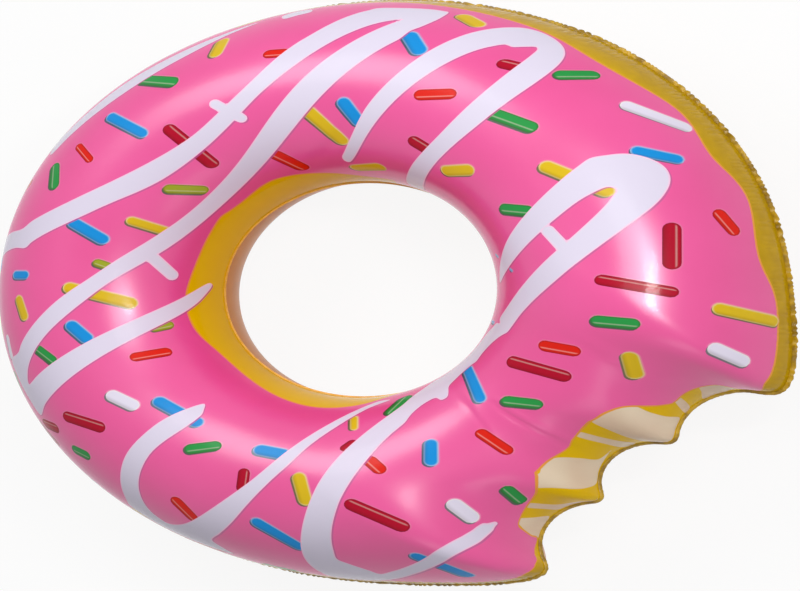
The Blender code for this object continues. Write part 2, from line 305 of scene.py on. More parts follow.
def edge_gap(x, y):
    """Distance in from the outer weld, rounded at the corners of the bite."""
    gaps = [flared_rim(x, y) - np.hypot(x, y)]
    for along, past_rim, radius in teeth:
        bearing = bite_bearing + along / rim_radius
        reach = rim_radius + past_rim
        gaps.append(np.hypot(x - reach * math.cos(bearing), y - reach * math.sin(bearing)) - radius)
    distance = np.minimum.reduce(gaps)
    for _ in range(rounding_passes):
        rounding = edge_rounding + film_rounding * np.maximum(distance, 0)
        distance = gaps[0]
        for gap in gaps[1:]:
            overlap = np.maximum(rounding - np.abs(distance - gap), 0)
            distance = np.minimum(distance, gap) - overlap ** 2 / (4 * rounding)
    return distance


def way_in(points):
    """Unit directions in which the distance from the outer weld grows."""
    x, y = points.T
    slope = np.stack([edge_gap(x + seam_probe, y) - edge_gap(x - seam_probe, y),
                      edge_gap(x, y + seam_probe) - edge_gap(x, y - seam_probe)], 1)
    return slope / np.linalg.norm(slope, axis=1)[:, None]


def rim_points(bearings):
    """Points of the outline in these directions from the middle, found by halving."""
    near = np.full(len(bearings), hole_radius)
    far = np.full(len(bearings), rim_radius + rim_flare)
    for _ in range(halvings):
        middle = (near + far) / 2
        inside = edge_gap(middle * np.cos(bearings), middle * np.sin(bearings)) > 0
        near, far = np.where(inside, middle, near), np.where(inside, far, middle)
    return np.stack([near * np.cos(bearings), near * np.sin(bearings)], 1)


bite_reach = max(abs(along) / rim_radius + math.asin(radius / (rim_radius + past_rim))
                 for along, past_rim, radius in teeth)
bite_first, bite_last = bite_bearing + bite_reach, bite_bearing - bite_reach


def rim_for(bearings):
    """Where the rib that starts at each bearing of the hole meets the outline."""
    trace = np.linspace(bite_last, bite_first, trace_steps)
    lengths = np.append(0, np.cumsum(np.linalg.norm(np.diff(rim_points(trace), axis=0), axis=1)))
    turned = (bearings - bite_last) % (2 * math.pi)
    in_bite = turned < bite_first - bite_last
    share = turned / (bite_first - bite_last)
    along_bite = np.interp(share * lengths[-1], lengths, trace)
    return rim_points(np.where(in_bite, along_bite, bearings))


def film_places(bearings, levels):
    """Plan and height above the seam of a film, rib by rib; a level runs from hole to rim."""
    starts = hole_radius * np.stack([np.cos(bearings), np.sin(bearings)], 1)
    share = (1 - np.cos(np.pi * np.asarray(levels)))[None, :, None] / 2
    plan = starts[:, None] + share * (rim_for(bearings) - starts)[:, None]
    x, y = plan[..., 0], plan[..., 1]
    from_hole = np.maximum(np.hypot(x, y) - hole_radius, 0)
    from_edge = np.maximum(edge_gap(x, y), 0)
    return plan, film_swell * np.sqrt(from_hole * from_edge)


tuck_middle, tuck_start, tuck_end = math.radians(-7.5), math.radians(70), math.radians(110)
tuck_slope = math.tan(math.radians(27))
tuck_softness = 0.004


def softened(values, softness):
    """Values with all that is under 0 lifted to it, along a smooth bend."""
    return softness * np.log1p(np.exp(values / softness))


def tucked_in(plan, height, bearings):
    """Draw the lower film in behind the seam, which is the outline on the side with the bite."""
    share = eased_step((tuck_end - turned_from(bearings, tuck_middle)) / (tuck_end - tuck_start))
    sunk = height * tuck_slope - edge_gap(plan[..., 0], plan[..., 1])
    pull = softened(sunk, tuck_softness) * np.clip(height / shallow, 0, 1)
    inward = plan[:, 0] - plan[:, -1]
    inward /= np.linalg.norm(inward, axis=1)[:, None]
    square_on = np.sum(way_in(plan.reshape(-1, 2)).reshape(plan.shape) * inward[:, None], axis=2)
    pull *= share[:, None] / np.clip(square_on, 0.5, 1)
    return plan + inward[:, None] * pull[..., None]


pucker_pitch = 0.0105
pucker_depth = 0.0026
pucker_fade = 0.008
pucker_middle, pucker_outwards = 0.6, 0.6
pucker_drifts = ((4, 17, 0), (2, 41, 1), (1.6, 97, 0))
bite_calm, calm_depth = 0.75, 0.012
least_height = 0.0004


def pucker_wave(bearings):
    """Rounded bulges with sharp valleys along the rim, from 0 to 1, nearly none in the bite."""
    rims = rim_for(bearings)
    steps = np.linalg.norm(np.diff(np.vstack([rims, rims[:1]]), axis=0), axis=1)
    turns = 2 * math.pi * np.append(0, np.cumsum(steps))[:-1] / steps.sum()
    phase = round(steps.sum() / pucker_pitch) * turns
    for swing, count, start in pucker_drifts:
        phase += swing * np.sin(count * turns + start)
    wave = np.abs(np.sin(phase / 2)) ** 0.7
    strength = 0.7 + 0.45 * np.sin(29 * turns + 2) * np.sin(11 * turns) + 0.15 * np.sin(67 * turns)
    hollow = np.clip((flared_rim(*rims.T) - np.hypot(*rims.T)) / calm_depth, 0, 1)
    return wave, strength * (1 - bite_calm * hollow)


def flat_layout(bearings, levels):
    """Places on the film laid flat, where each rib is straight and keeps its length."""
    reach = hole_radius + np.asarray(levels) * math.pi / 2 * tube_width
    return np.dstack([np.outer(np.cos(bearings), reach), np.outer(np.sin(bearings), reach)])


def band_faces(low, high, count):
    """Faces between two rings of points, from the first point of each."""
    return [(low + step, high + step, high + (step + 1) % count, low + (step + 1) % count)
            for step in range(count)]


def film_mesh(columns, coarse_levels, fine_levels, side, splits):
    """A film as a grid of ribs, with more ribs along the puckered rim."""
    points, flat, faces = [], [], []
    for count, levels in ((columns, coarse_levels), (columns * splits, fine_levels)):
        bearings = even_turns(count)
        plan, height = film_places(bearings, levels)
        wave, strength = pucker_wave(bearings)
        fade = np.exp(-np.maximum(edge_gap(plan[..., 0], plan[..., 1]), 0) / pucker_fade)
        lift = pucker_depth * ((wave - pucker_middle) * strength)[:, None] * fade
        if side < 0:
            plan = tucked_in(plan, height, bearings)
        outward = -way_in(plan.reshape(-1, 2)).reshape(plan.shape)
        plan = plan + outward * (lift * pucker_outwards)[..., None]
        height = np.maximum(height + lift * np.clip(height / shallow, 0, 1), least_height)
        above = len(points)
        for level in range(len(levels) - 1):
            faces += band_faces(above + level * count, above + (level + 1) * count, count)
        places = np.dstack([plan, seam_height + side * height])
        points += places.transpose(1, 0, 2).reshape(-1, 3).tolist()
        flat += flat_layout(bearings, levels).transpose(1, 0, 2).reshape(-1, 2).tolist()
    here = above - columns
    for rib in range(columns):
        fan = [above + (rib * splits + part) % (columns * splits) for part in range(splits + 1)]
        faces.append((here + (rib + 1) % columns, here + rib, *fan))
    if side < 0:
        faces = [face[::-1] for face in faces]
    return np.array(points), np.array(flat), faces


def make_piece(name, points, faces, material):
    mesh = bpy.data.meshes.new(name)
    mesh.from_pydata([tuple(point) for point in points], [], faces)
    mesh.materials.append(material)
    mesh.shade_smooth()
    mesh.validate()
    piece = bpy.data.objects.new(name, mesh)
    bpy.context.scene.collection.objects.link(piece)
    return piece

lower_columns, lower_splits = 480, 4
lower_levels, lower_fine = np.linspace(0, 0.925, 84), np.linspace(0.935, 1, 9)
lower_points, _, lower_faces = film_mesh(lower_columns, lower_levels, lower_fine, -1, lower_splits)
rest_softness = 0.001
lower_points[:, 2] = softened(lower_points[:, 2], rest_softness)

valve_bearing, valve_tilt = math.radians(197.5), math.radians(26.08)
valve_reach, valve_height = 0.576957, 0.106661
valve_side = np.array([math.cos(valve_bearing), math.sin(valve_bearing), 0])
plumb = np.array([0, 0, 1])
valve_middle = valve_reach * valve_side + valve_height * plumb
valve_out = math.cos(valve_tilt) * valve_side - math.sin(valve_tilt) * plumb
valve_across = np.cross(plumb, valve_side)
valve_down = np.cross(valve_across, valve_out)
valve_axes = np.stack([valve_down, valve_across, valve_out])
flange_radius, film_hole_radius = 0.021, 0.0125
valve_ground, pressed_reach, pressed_margin, pressed_level = 0.08, 0.052, 0.001, 0.0001
hole_margin = 0.0005
on_valve = (lower_points - valve_middle) @ valve_axes.T
from_axis = np.hypot(on_valve[:, 0], on_valve[:, 1])
near_valve = np.linalg.norm(lower_points - valve_middle, axis=1) < valve_ground
pressed = near_valve * eased_step((pressed_reach - from_axis)
                                  / (pressed_reach - flange_radius - pressed_margin))
on_valve[:, 2] += pressed * (pressed_level - on_valve[:, 2])
kept_faces = [face for face in lower_faces
              if not near_valve[face[0]] or from_axis[list(face)].mean() > film_hole_radius]
edge_ring = near_valve & (from_axis < film_hole_radius + hole_margin)
stretch = np.where(edge_ring, film_hole_radius / np.maximum(from_axis, 1e-6), 1)
on_valve[:, :2] *= stretch[:, None]
lower_points = valve_middle + on_valve @ valve_axes

dough = Finish(bpy.data.materials.new("dough_print"))
dough_patches = dough.noise(9, 3)
# Partly painted shade: the golden print is made darker and more copper, as the lower film looks in
# shade inside the hole.
dough_colour_and_shade = dough.mix(dough_patches, ink(198, 126, 44), ink(214, 148, 62))
dough_creases = dough.noise(60, 4, 0.6)
dough.surface(Base_Color=dough_colour_and_shade, Roughness=dough_patches * 0.1 + 0.24,
              Specular_IOR_Level=0.12, Coat_Weight=0.02, Coat_Roughness=0.12,
              Normal=dough.bump(dough_creases, 0.0006, 0.5))
lower_film = make_piece("lower_film", lower_points, kept_faces, dough.owner)
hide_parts("bottom_film")
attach(lower_film, "ring")


# Upper film
# The face of the float: a ring of clear PVC film printed with icing, drizzle and sprinkles, and
# with pale crumb where the bite is. The print is laid out flat, as it is before air goes in.
upper_columns, upper_splits = 680, 3
upper_levels, upper_fine = np.linspace(0, 0.925, 114), np.linspace(0.932, 1, 9)
upper_points, upper_flat, upper_faces = film_mesh(upper_columns, upper_levels, upper_fine, 1,
                                                  upper_splits)

tracing_ribs, tracing_rungs = 360, 65
tracing_bearings, tracing_levels = even_turns(tracing_ribs), np.linspace(0, 1, tracing_rungs)
tracing_plan, tracing_height = film_places(tracing_bearings, tracing_levels)
tracing_points = np.dstack([tracing_plan, seam_height + tracing_height]).reshape(-1, 3)
tracing_flat = np.dstack([flat_layout(tracing_bearings, tracing_levels),
                          np.zeros((tracing_ribs, tracing_rungs))]).reshape(-1, 3)
tracing_faces = []
for rib in range(tracing_ribs):
    here, after = rib * tracing_rungs, (rib + 1) % tracing_ribs * tracing_rungs
    for level in range(tracing_rungs - 1):
        tracing_faces += [(here + level, here + level + 1, after + level + 1),
                          (here + level, after + level + 1, after + level)]
tracing_tree = BVHTree.FromPolygons(tracing_points.tolist(), tracing_faces)
crest_radius = (rim_radius + hole_radius) / 2
crest_steps = 180
nudges = 60


def pixel_of(place):
    """Where the photograph shows a place."""
    seen = camera_axes.inverted() @ (place - camera_place)
    return Vector((photo_width / 2 - focal_pixels * seen.x / seen.z,
                   photo_height / 2 + focal_pixels * seen.y / seen.z))


crest_pixels = [pixel_of(Vector((crest_radius * math.cos(bearing), crest_radius * math.sin(bearing),
                                 seam_height + tube_width / 2)))
                for bearing in even_turns(crest_steps)]


def on_film(across, down):
    """The place on the film, and on its flat layout, that one point of the photograph shows.

    A point just past the film's edge is moved towards the crest until it is on the film.
    """
    point = Vector((across, down))
    goal = min(crest_pixels, key=lambda crest: (crest - point).length)
    for nudge in range(nudges):
        pixel = point.lerp(goal, nudge / nudges)
        place, _, face, _ = tracing_tree.ray_cast(camera_place, sight_line(*pixel).normalized())
        if place:
            solid, drawn = ([Vector(grid[corner]) for corner in tracing_faces[face]]
                            for grid in (tracing_points, tracing_flat))
            return place, barycentric_transform(place, *solid, *drawn)
    raise ValueError("no film at this point of the photograph")


def by_pixels(*pixels):
    """Points of the flat layout, from points of the photograph."""
    return [on_film(*pixel)[1].xy for pixel in pixels]


def by_bearing(*places):
    """Points of the flat layout, from bearings in degrees and levels from hole to rim."""
    return [Vector(flat_layout(math.radians(bearing), level)[0, 0]) for bearing, level in places]


line_parts, steady_passes = 4, 2
bend_steadied, bend_kept = 0.95, 0.85


def rounded(points):
    """A closed smooth line through points, steadied where it wavers but not at its tips."""
    points = np.array([tuple(point) for point in points])
    for _ in range(steady_passes):
        come, leave = points - np.roll(points, 1, axis=0), np.roll(points, -1, axis=0) - points
        lengths = np.linalg.norm(come, axis=1) * np.linalg.norm(leave, axis=1)
        straight = np.sum(come * leave, axis=1) / lengths
        share = np.clip((straight - bend_kept) / (bend_steadied - bend_kept), 0, 1) / 4
        points = points + share[:, None] * (leave - come)
    before, after, beyond = (np.roll(points, shift, axis=0) for shift in (1, -1, -2))
    line = []
    for s in np.arange(line_parts) / line_parts:
        line.append(0.5 * (2 * points + (after - before) * s
                           + (2 * before - 5 * points + 4 * after - beyond) * s ** 2
                           + (3 * points - before - 3 * after + beyond) * s ** 3))
    return np.stack(line, 1).reshape(-1, 2)


no_ink = -0.05
batch = 3000


def depth_inside(places, outline):
    """Distance in from a closed outline, negative outside, for places on the flat layout."""
    low, high = outline.min(0) + no_ink, outline.max(0) - no_ink
    near = np.flatnonzero(np.all((places > low) & (places < high), axis=1))
    depth = np.full(len(places), no_ink)
    for some in np.array_split(near, max(len(near) // batch, 1)):
        nearest = np.full(len(some), np.inf)
        crossings = np.zeros(len(some), int)
        x, y = places[some].T
        for (ax, ay), (bx, by) in zip(outline, np.roll(outline, -1, axis=0)):
            run_x, run_y, off_x, off_y = bx - ax, by - ay, x - ax, y - ay
            share = (off_x * run_x + off_y * run_y) / max(run_x ** 2 + run_y ** 2, 1e-12)
            share = np.clip(share, 0, 1)
            away = (off_x - share * run_x) ** 2 + (off_y - share * run_y) ** 2
            nearest = np.minimum(nearest, away)
            if run_y:
                crossings += ((ay > y) != (by > y)) & (off_x < off_y / run_y * run_x)
        depth[some] = np.sqrt(nearest) * np.where(crossings % 2, 1, -1)
    return np.maximum(depth, no_ink)


def from_segment(places, start, end):
    """How far along a segment each place is, from 0 to 1, and its offset from the segment."""
    run, offset = np.array(end - start), places - np.array(start)
    along = np.clip(offset @ run / max(run @ run, 1e-12), 0, 1)
    return along, offset - along[:, None] * run


def distance_along(places, line):
    """Signed distance from an open line on the flat layout, and how near its middle a place is."""
    nearest, side, share = np.full(len(places), np.inf), np.ones(len(places)), np.zeros(len(places))
    for index, (start, end) in enumerate(zip(line, line[1:])):
        along, offset = from_segment(places, start, end)
        away, (run_x, run_y) = np.linalg.norm(offset, axis=1), end - start
        closer = away < nearest
        nearest = np.where(closer, away, nearest)
        side = np.where(closer, np.sign(run_x * offset[:, 1] - run_y * offset[:, 0]), side)
        share = np.where(closer, (index + along) / (len(line) - 1), share)
    return nearest * side, np.sin(math.pi * share) ** 0.5


fold_peak = 2.3
folds = (
    (0.0026, 0.006, ((493, 399), (505, 410), (520, 419), (540, 430), (560, 439), (574, 445),
                     (590, 451))),
    (0.0008, 0.012, ((452, 384), (470, 404), (486, 426), (496, 448))),
    (0.0007, 0.013, ((180, 330), (215, 348), (246, 380))),
    (0.0006, 0.014, ((300, 168), (330, 140), (352, 110))),
    (0.0006, 0.014, ((560, 330), (600, 352), (640, 388))))
for fold_height, fold_width, pixels in folds:
    across_fold, along_fold = distance_along(upper_flat, by_pixels(*pixels))
    reach = across_fold / fold_width
    upper_points[:, 2] += fold_height * along_fold * fold_peak * reach * np.exp(-reach ** 2)

icing_outer = by_pixels(
    (438, 6), (500, 16), (540, 28), (560, 41), (575, 48), (592, 60), (609, 70), (646, 90),
    (666, 101), (679, 110), (690, 121), (696, 133), (704, 147), (710, 158), (720, 166), (731, 176),
    (740, 185), (747, 196), (750, 206), (753, 216), (754, 247), (757, 258), (762, 270), (768, 280),
    (773, 290), (776, 298), (778, 317), (778, 330), (775, 360), (772, 371), (768, 380), (762, 387),
    (750, 390), (740, 389), (730, 387), (719, 385), (710, 385), (702, 387), (679, 397), (674, 402),
    (669, 404), (660, 406), (640, 405), (630, 405), (622, 405.5), (614, 408), (597, 416),
    (590, 420), (583, 426), (579, 433), (575, 438), (567, 448), (560, 454), (540, 465), (535, 470),
    (533, 475), (538, 487), (537, 493), (533, 498), (528, 504), (524.5, 510), (520.5, 516),
    (518, 526), (522, 531), (533, 536), (537, 540), (536, 560), (533, 567), (528, 572), (521, 576),
    (516, 578)) + by_bearing(
    (-70, 0.965), (-78, 0.95), (-86, 0.94), (-94, 0.955), (-103, 0.95), (-112, 0.92), (-121, 0.89),
    (-130, 0.90), (-139, 0.93), (-147, 0.91), (-156, 0.87), (-166, 0.88), (-175, 0.92),
    (-184, 0.90), (-193, 0.86), (-202, 0.87), (-211, 0.91), (-220, 0.92), (-229, 0.90),
    (-238, 0.88), (-247, 0.91), (-256, 0.93), (-264, 0.92), (-272, 0.92), (-278, 0.93))
icing_inner = by_pixels(
    (395, 181), (388, 179), (368, 177), (350, 174), (335, 172.5), (320, 172), (300, 173.5),
    (290, 175), (280, 177), (270, 180), (260, 185), (254, 191), (240, 204), (230, 211), (220, 216),
    (210, 231), (205, 240), (199, 253), (188.5, 280), (184, 291), (184, 298), (186, 312),
    (188.5, 320), (192.5, 329), (200, 337), (210, 346), (220, 353), (230, 362), (240, 373),
    (260, 388), (270, 393), (280, 398), (290, 402), (300, 405), (310, 407), (320, 408.5),
    (335, 408.5), (350, 407), (360, 405), (370, 403), (380, 400), (400, 393)) + by_bearing(
    (-68, 0.045), (-56, 0.065), (-44, 0.09), (-32, 0.10), (-20, 0.11), (-8, 0.09), (4, 0.11),
    (16, 0.10), (28, 0.085), (40, 0.065), (52, 0.045), (64, 0.024), (74, 0.012))
icing_depth = np.minimum(depth_inside(upper_flat, rounded(icing_outer)),
                         -depth_inside(upper_flat, rounded(icing_inner)))


crumb_patches = (
    ((700, 384), (735, 386), (736, 394), (719, 397), (708, 401), (699, 396)),
    ((673, 399), (678, 396), (692, 408), (687, 414)),
    ((596, 417), (612, 409), (630, 405), (650, 413), (665, 418), (682, 419), (678, 432), (668, 441),
     (655, 443), (640, 441), (625, 438), (610, 430), (592, 422)),
    ((578, 431.5), (600, 437), (626, 442), (642, 448), (625, 447), (600, 441.5), (576, 436)),
    ((531, 477), (540, 464), (558, 455), (580, 457), (600, 459), (612, 450), (606, 462), (601, 472),
     (598, 484), (590, 487), (560, 488), (537, 488), (534, 482)),
    ((528, 503), (545, 504), (560, 504.5), (575, 502.5), (597, 498), (599, 503), (575, 507),
     (560, 509), (545, 508), (525, 507)),
    ((516, 519), (530, 516), (549, 516), (547, 524), (541, 531), (538, 538), (527, 534),
     (518, 524)))
crumb_depth = np.maximum.reduce([depth_inside(upper_flat, rounded(by_pixels(*patch)))
                                 for patch in crumb_patches])

drizzle_outlines = [
    by_pixels(
        (12, 232), (22, 229), (33, 219), (40, 217), (50, 212), (110, 183), (180, 145), (190, 138),
        (200, 131), (217, 113), (240, 92), (250, 83), (260, 73), (290, 47), (300, 40), (310, 36),
        (320, 29), (350, 15), (360, 12), (370, 10), (380, 8), (420, 8), (435, 9), (445, 11),
        (449, 12.5), (440, 19), (430, 23), (420, 28), (410, 31), (400, 39), (390, 43), (370, 56),
        (340, 77), (320, 97), (303, 118), (280, 145), (272, 154), (245, 183), (235, 193),
        (205, 221), (165, 251), (147, 261), (135, 266), (120, 277), (110, 281), (100, 288),
        (90, 298), (60, 320), (50, 330), (42, 339), (31, 357), (28, 365), (27, 374), (28, 381),
        (30, 384), (40, 374), (50, 364), (70, 352), (110, 331), (190, 293), (200, 287), (205, 284),
        (210, 283), (212, 286), (208, 292), (195, 306), (190, 309), (170, 321), (110, 351),
        (100, 358), (50, 398), (46, 403))
    + by_bearing(
        (-149, 0.76), (-153, 0.78), (-158, 0.785), (-163, 0.77))
    + by_pixels(
        (18, 353), (20, 345), (25, 336), (50, 306), (60, 297), (68, 292), (90, 279), (100, 270),
        (120, 257), (130, 251), (140, 247), (167, 227), (180, 220), (190, 213), (210, 193),
        (290, 91), (300, 80), (310, 71), (360, 37), (370, 32), (400, 20.5), (403, 19.3), (390, 20),
        (380, 22), (360, 28), (350, 32), (310, 54), (290, 70), (270, 84), (260, 93), (250, 103),
        (230, 126), (220, 136), (170, 175), (160, 182), (150, 187), (110, 203), (100, 207),
        (90, 213), (80, 218), (35, 239), (30, 242), (25, 248), (18, 246))
    + by_bearing(
        (171, 0.76), (173, 0.82), (172, 0.86), (169, 0.85), (167.5, 0.80)),
    by_pixels(
        (345, 161), (342, 157), (343, 153), (348, 145), (355, 130), (360, 117), (365, 108),
        (370, 101), (410, 63), (428, 51), (450, 40), (460, 36), (480, 30), (490, 28.5), (510, 27),
        (520, 27), (530, 28.5), (540, 31), (550, 35.5), (560, 41.5), (565, 47), (567, 53),
        (565, 59), (560, 65), (550, 73), (540, 80), (530, 87), (520, 94), (487, 118), (480, 124),
        (470, 132), (450, 149), (440, 159), (423, 180))
    + by_bearing(
        (56, 0.15), (58, 0.11), (62, 0.09), (65, 0.11))
    + by_pixels(
        (405, 173), (410, 167), (430, 145), (440, 136), (450, 124), (480, 96), (490, 87),
        (500, 79), (520, 64), (527, 59), (533, 54), (537, 50), (536, 47), (530, 46.5), (512, 47),
        (505, 44.5), (490, 46), (480, 48.5), (460, 56), (440, 66), (400, 95), (390, 105),
        (365, 138), (358, 153), (354, 160), (350, 162)),
    by_pixels(
        (500, 283), (499, 275), (500, 262), (503, 249), (512, 231), (540, 200), (573, 169),
        (580, 164), (590, 158), (610, 154), (620, 153), (630, 153), (640, 155), (650, 158),
        (660, 162), (665, 166), (670, 172), (672, 178), (671, 185), (667, 192), (660, 201),
        (650, 211), (640, 218), (570, 269), (560, 278), (550, 286), (530, 304), (520, 314),
        (510, 326), (500, 337), (490, 346), (480, 355), (473, 363), (463, 373), (455, 380),
        (449, 386), (449, 392), (447, 397), (441, 400), (435, 398), (425, 402), (410, 416),
        (400, 425), (390, 433), (375, 450), (345, 490), (333, 520), (331, 529), (331, 540),
        (333, 551), (337, 559), (345, 563), (360, 567), (372, 571), (380, 574), (390, 572),
        (400, 570), (420, 562), (430, 556), (440, 549), (460, 537), (470, 530), (480, 524),
        (490, 522), (496, 521.5), (498, 523.5), (495, 528), (490, 533), (480, 540), (460, 554),
        (450, 560), (440, 565), (410, 576), (400, 579), (380, 581), (350, 580.5), (340, 579),
        (330, 576), (320, 572), (310, 566), (305, 560), (302, 553), (300, 546), (300, 535),
        (312, 494), (322, 477), (345, 449), (350, 445), (390, 415), (420, 391), (427, 386.5))
    + by_bearing(
        (-52, 0.14), (-45, 0.145), (-37, 0.155), (-28, 0.17), (-20, 0.185), (-16, 0.21),
        (-15.5, 0.235))
    + by_pixels(
        (500, 318), (505, 310), (515, 296), (530, 277), (540, 267), (568, 241), (575, 235),
        (600, 212), (607, 204), (612, 198), (616, 190), (607, 187), (588, 194), (580, 199),
        (570, 207), (535, 238), (515, 260), (510, 266), (502, 280)),
    by_pixels(
        (205, 404), (200, 404), (185, 409), (165, 418), (160, 421), (155, 425), (133, 444),
        (128, 450), (124, 458), (121, 467), (120, 483), (122, 490), (126, 498))
    + by_bearing(
        (-124.5, 0.83), (-122, 0.865), (-118.5, 0.885), (-115, 0.89), (-111, 0.885),
        (-107.5, 0.882), (-105.8, 0.875))
    + by_pixels(
        (222, 547), (212, 540), (220, 534), (230, 525), (235, 520), (240, 514), (280, 471),
        (290, 465), (295, 459), (300, 453), (330, 431), (340, 425), (350, 419), (370, 407),
        (380, 404), (391, 399.5), (380, 401), (370, 404), (360, 409), (330, 424), (310, 436),
        (280, 457), (260, 474), (250, 482), (240, 490), (210, 510), (197, 519), (190, 522),
        (182, 525), (175, 525.5), (167, 523), (160, 519), (153, 514), (147, 508), (142, 500),
        (139, 491), (138, 483), (139, 475), (145, 460), (150, 454), (155, 448), (160, 444),
        (180, 431), (190, 425), (195, 421), (203, 414), (204.5, 411)),
    by_pixels(
        (50, 150), (60, 140), (72, 128), (90, 111), (110, 94), (130, 80), (150, 68), (170, 58),
        (190, 48), (210, 39), (262, 21.5), (225, 36), (210, 44), (190, 54), (170, 65), (150, 75),
        (130, 90), (110, 103), (90, 117), (70, 136), (52, 154)),
    by_pixels(
        (283, 16), (296, 12), (311, 9.5), (311, 12), (297, 15.5), (284, 19))]
drizzle_lines = [rounded(line) for line in drizzle_outlines]
drizzle_shade_shift = np.array([0.0026, -0.0024])
drizzle_depth, drizzle_shade = [
    np.maximum.reduce([depth_inside(places, line) for line in drizzle_lines])
    for places in (upper_flat, upper_flat - drizzle_shade_shift)]

yellow, green, olive = ink(224, 188, 28), ink(40, 152, 70), ink(160, 170, 40)
blue, crimson, red = ink(20, 146, 222), ink(180, 0, 40), ink(226, 30, 10)
white = ink(233, 226, 243)
seen_sprinkles = {
    yellow: ((216, 53, 222, 42, 11), (309, 112, 341, 140, 12), (132, 221, 165, 231, 9),
        (70, 288, 130, 303, 12), (358, 168, 379, 167, 8), (464, 17, 477, 24, 11),
        (447, 171, 468, 170, 11), (547, 167, 606, 191, 13), (630, 357, 635, 374, 17),
        (720, 309, 773, 321, 12), (19, 300, 24, 316, 8), (299, 478, 305, 500, 14),
        (354, 418, 354, 428, 8)),
    green: ((145, 80, 172, 82, 11), (55, 168, 54, 184, 9), (562, 75, 592, 75, 9),
        (494, 114, 530, 127, 12), (505, 209, 527, 211, 11), (598, 321, 632, 324, 11),
        (508, 401, 536, 404, 10), (508, 490, 520, 500, 10), (39, 350, 52, 360, 9),
        (76, 450, 86, 455, 6), (191, 449, 215, 446, 10), (393, 411, 405, 399, 8)),
    olive: ((170, 189, 202, 190, 9), (98, 263, 107, 266, 8), (155, 328, 169, 325, 8)),
    blue: ((111, 117, 142, 133, 11), (344, 103, 358, 121, 13), (74, 223, 102, 239, 12),
        (16, 275, 25, 275, 9), (410, 36, 419, 50, 17), (638, 151, 677, 159, 10),
        (468, 370, 480, 398, 12), (431, 444, 431, 461, 15), (418, 557, 466, 575, 9),
        (72, 326, 86, 338, 13), (160, 402, 196, 422, 12), (261, 450, 282, 454, 12),
        (258, 523, 298, 546, 10), (510, 269, 512, 271, 5), (496, 255, 498, 257, 4),
        (492, 321, 494, 323, 4)),
    crimson: ((170, 130, 211, 163, 13), (505, 64, 518, 67, 10), (415, 142, 425, 148, 11),
        (672, 229, 672, 263, 21), (602, 280, 671, 292, 11), (513, 362, 563, 376, 12),
        (68, 417, 99, 427, 11), (46, 424, 55, 428, 7), (352, 505, 401, 526, 13),
        (345, 448, 352, 443, 7), (244, 473, 242, 488, 12)),
    red: ((269, 54, 283, 53, 8), (79, 147, 89, 159, 9), (276, 155, 301, 167, 9),
        (421, 95, 449, 94, 11), (720, 215, 733, 230, 12), (545, 346, 573, 351, 11),
        (482, 434, 506, 450, 11), (136, 357, 166, 352, 9), (177, 502, 192, 517, 9),
        (370, 461, 379, 469, 12)),
    white: ((628, 106, 685, 127, 9), (716, 349, 743, 361, 13), (455, 505, 471, 517, 14),
        (113, 396, 132, 405, 12))}
crossing_sprinkles = (
    (215, 104, 241, 118, 10), (153, 258, 172, 275, 12), (548, 231, 563, 247, 13))
hidden_sprinkles = {
    0.009: ((blue, 175, 0.80, 171, 0.82), (red, 158, 0.83, 155, 0.79),
        (yellow, 186, 0.83, 190, 0.81), (green, 200, 0.80, 204, 0.83),
        (white, 192, 0.75, 196, 0.76), (crimson, 212, 0.82, 217, 0.81),
        (blue, 224, 0.90, 227, 0.87), (yellow, 236, 0.86, 241, 0.85),
        (green, 143, 0.84, 147, 0.83), (crimson, 130, 0.87, 134, 0.85)),
    0.008: ((white, 118, 0.87, 122, 0.88), (yellow, 104, 0.89, 107, 0.88),
        (red, 248, 0.89, 252, 0.88), (green, 259, 0.91, 263, 0.92), (yellow, 28, 0.10, 36, 0.11),
        (green, 12, 0.13, 18, 0.12), (crimson, -8, 0.14, -14, 0.12), (red, -36, 0.11, -42, 0.10))}
stroke_parts = 9
least_half, most_half, speck_half, speck_width = 0.0055, 0.0125, 0.003, 5
lower_left = Vector((-1, -1, 0)).normalized()
sprinkle_shade_shift = lower_left * 0.0038


def seen_stroke(start_x, start_y, end_x, end_y, width):
    """The middle line of a sprinkle on the film and its half width, from the photograph."""
    start, end = Vector((start_x, start_y)), Vector((end_x, end_y))
    line = [on_film(*start.lerp(end, part / (stroke_parts - 1)))[0] for part in range(stroke_parts)]
    side = (end - start).orthogonal().normalized() * width / 2
    middle = (start + end) / 2
    half = (on_film(*(middle + side))[0] - on_film(*(middle - side))[0]).length / 2
    return line, min(max(half, least_half), most_half) if width > speck_width else speck_half


def hidden_stroke(half, start_bearing, start_level, end_bearing, end_level):
    """The same for a sprinkle on a side that the photograph doesn't show."""
    line = []
    for part in np.linspace(0, 1, stroke_parts):
        bearing = math.radians(start_bearing + part * (end_bearing - start_bearing))
        level = start_level + part * (end_level - start_level)
        plan, height = film_places(np.array([bearing]), [level])
        line.append(Vector((*plan[0, 0], seam_height + height[0, 0])))
    return line, half


def stroke_depth(line, half, points):
    """How deep points are inside a round-ended stroke, and how far across it they are."""
    nearest, across = np.full(len(points), np.inf), np.zeros(len(points))
    middle = line[len(line) // 2]
    core = Vector((middle.x, middle.y, 0)).normalized() * crest_radius + Vector((0, 0, seam_height))
    side = (line[-1] - line[0]).cross(middle - core).normalized()
    side = side if side.dot(lower_left) > 0 else -side
    for start, end in zip(line, line[1:]):
        _, away = from_segment(points, start, end)
        distance = np.linalg.norm(away, axis=1)
        across = np.where(distance < nearest, away @ np.array(side), across)
        nearest = np.minimum(nearest, distance)
    return half - nearest, across / half


